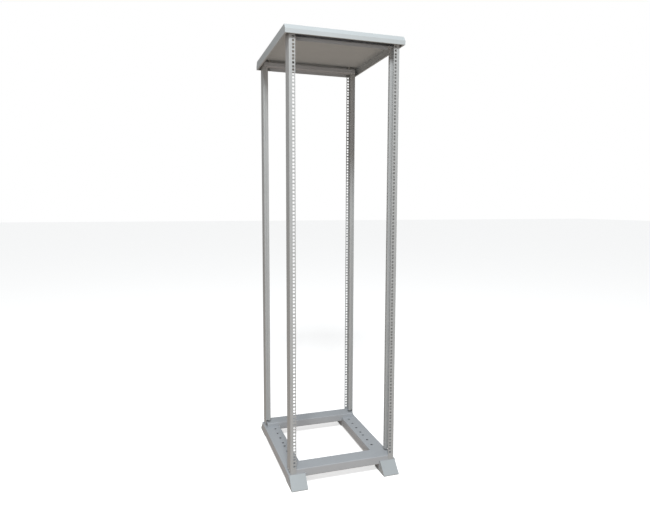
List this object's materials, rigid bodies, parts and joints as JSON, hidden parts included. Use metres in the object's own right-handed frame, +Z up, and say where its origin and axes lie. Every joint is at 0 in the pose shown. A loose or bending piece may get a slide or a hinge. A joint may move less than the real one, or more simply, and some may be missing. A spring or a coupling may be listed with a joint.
{
  "type": "open frame network rack",
  "caption": "Tall open four-post 19 inch rack frame with perforated posts, pressed top cover, folded base beams, side skids and raked feet.",
  "frame": {"origin": "middle of the footprint at floor level", "axes": "+Z up, +X to the right seen from the front, +Y from the front towards the rear"},
  "size_m": [0.5412, 0.701, 1.9949],
  "materials": {
    "post_paint": "satin",
    "frame_paint": "satin",
    "foot_paint": "satin",
    "cover_paint": "satin",
    "painted_screw": "satin",
    "plated_steel": "zinc plated"
  },
  "bodies": {
    "root": {"corner_post_front_left": "post_paint", "corner_post_front_right": "post_paint", "corner_post_rear_left": "post_paint", "corner_post_rear_right": "post_paint", "base_beam_front": "frame_paint", "base_beam_rear": "frame_paint", "base_skid_left": "frame_paint", "base_skid_right": "frame_paint", "foot_front_left": "foot_paint", "foot_front_right": "foot_paint", "foot_rear_left": "foot_paint", "foot_rear_right": "foot_paint", "top_beam_front": "frame_paint", "top_beam_rear": "frame_paint", "top_cover": "cover_paint", "cover_spacers": "plated_steel", "cover_screws": "plated_steel", "cover_nuts": "plated_steel", "post_base_screws": "painted_screw", "post_base_nuts": "plated_steel", "post_top_screws": "painted_screw", "post_top_nuts": "plated_steel", "base_bolts": "plated_steel", "base_washers": "plated_steel", "base_nuts": "plated_steel"}
  },
  "joints": []
}
